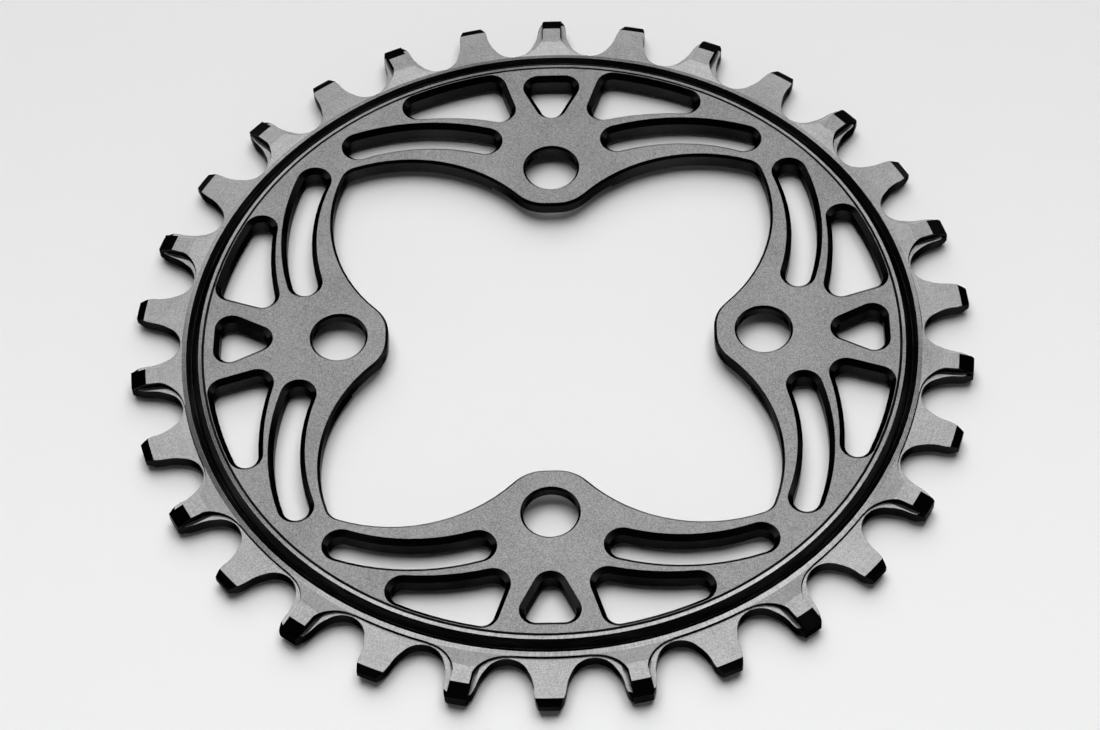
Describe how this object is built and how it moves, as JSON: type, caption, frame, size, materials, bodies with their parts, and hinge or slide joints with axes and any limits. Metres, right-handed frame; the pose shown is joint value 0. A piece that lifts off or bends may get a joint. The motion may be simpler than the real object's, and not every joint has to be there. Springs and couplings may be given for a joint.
{
  "type": "bicycle chainring",
  "caption": "One-piece machined chainring with alternating narrow and wide teeth, curved lightening pockets and bolt tabs around a scalloped centre.",
  "frame": {"origin": "centre of the ring on the plane of the underside, where it would lie on a table", "axes": "+Z along the ring's axis, out of the face with the raised crest ring that the picture shows; +Y through one bolt tab and one wide tooth"},
  "size_m": [0.1264, 0.1268, 0.0037],
  "materials": {
    "black_anodised": "satin black anodised over a bead-blasted surface"
  },
  "bodies": {
    "root": {"chainring": "black_anodised"}
  },
  "joints": []
}
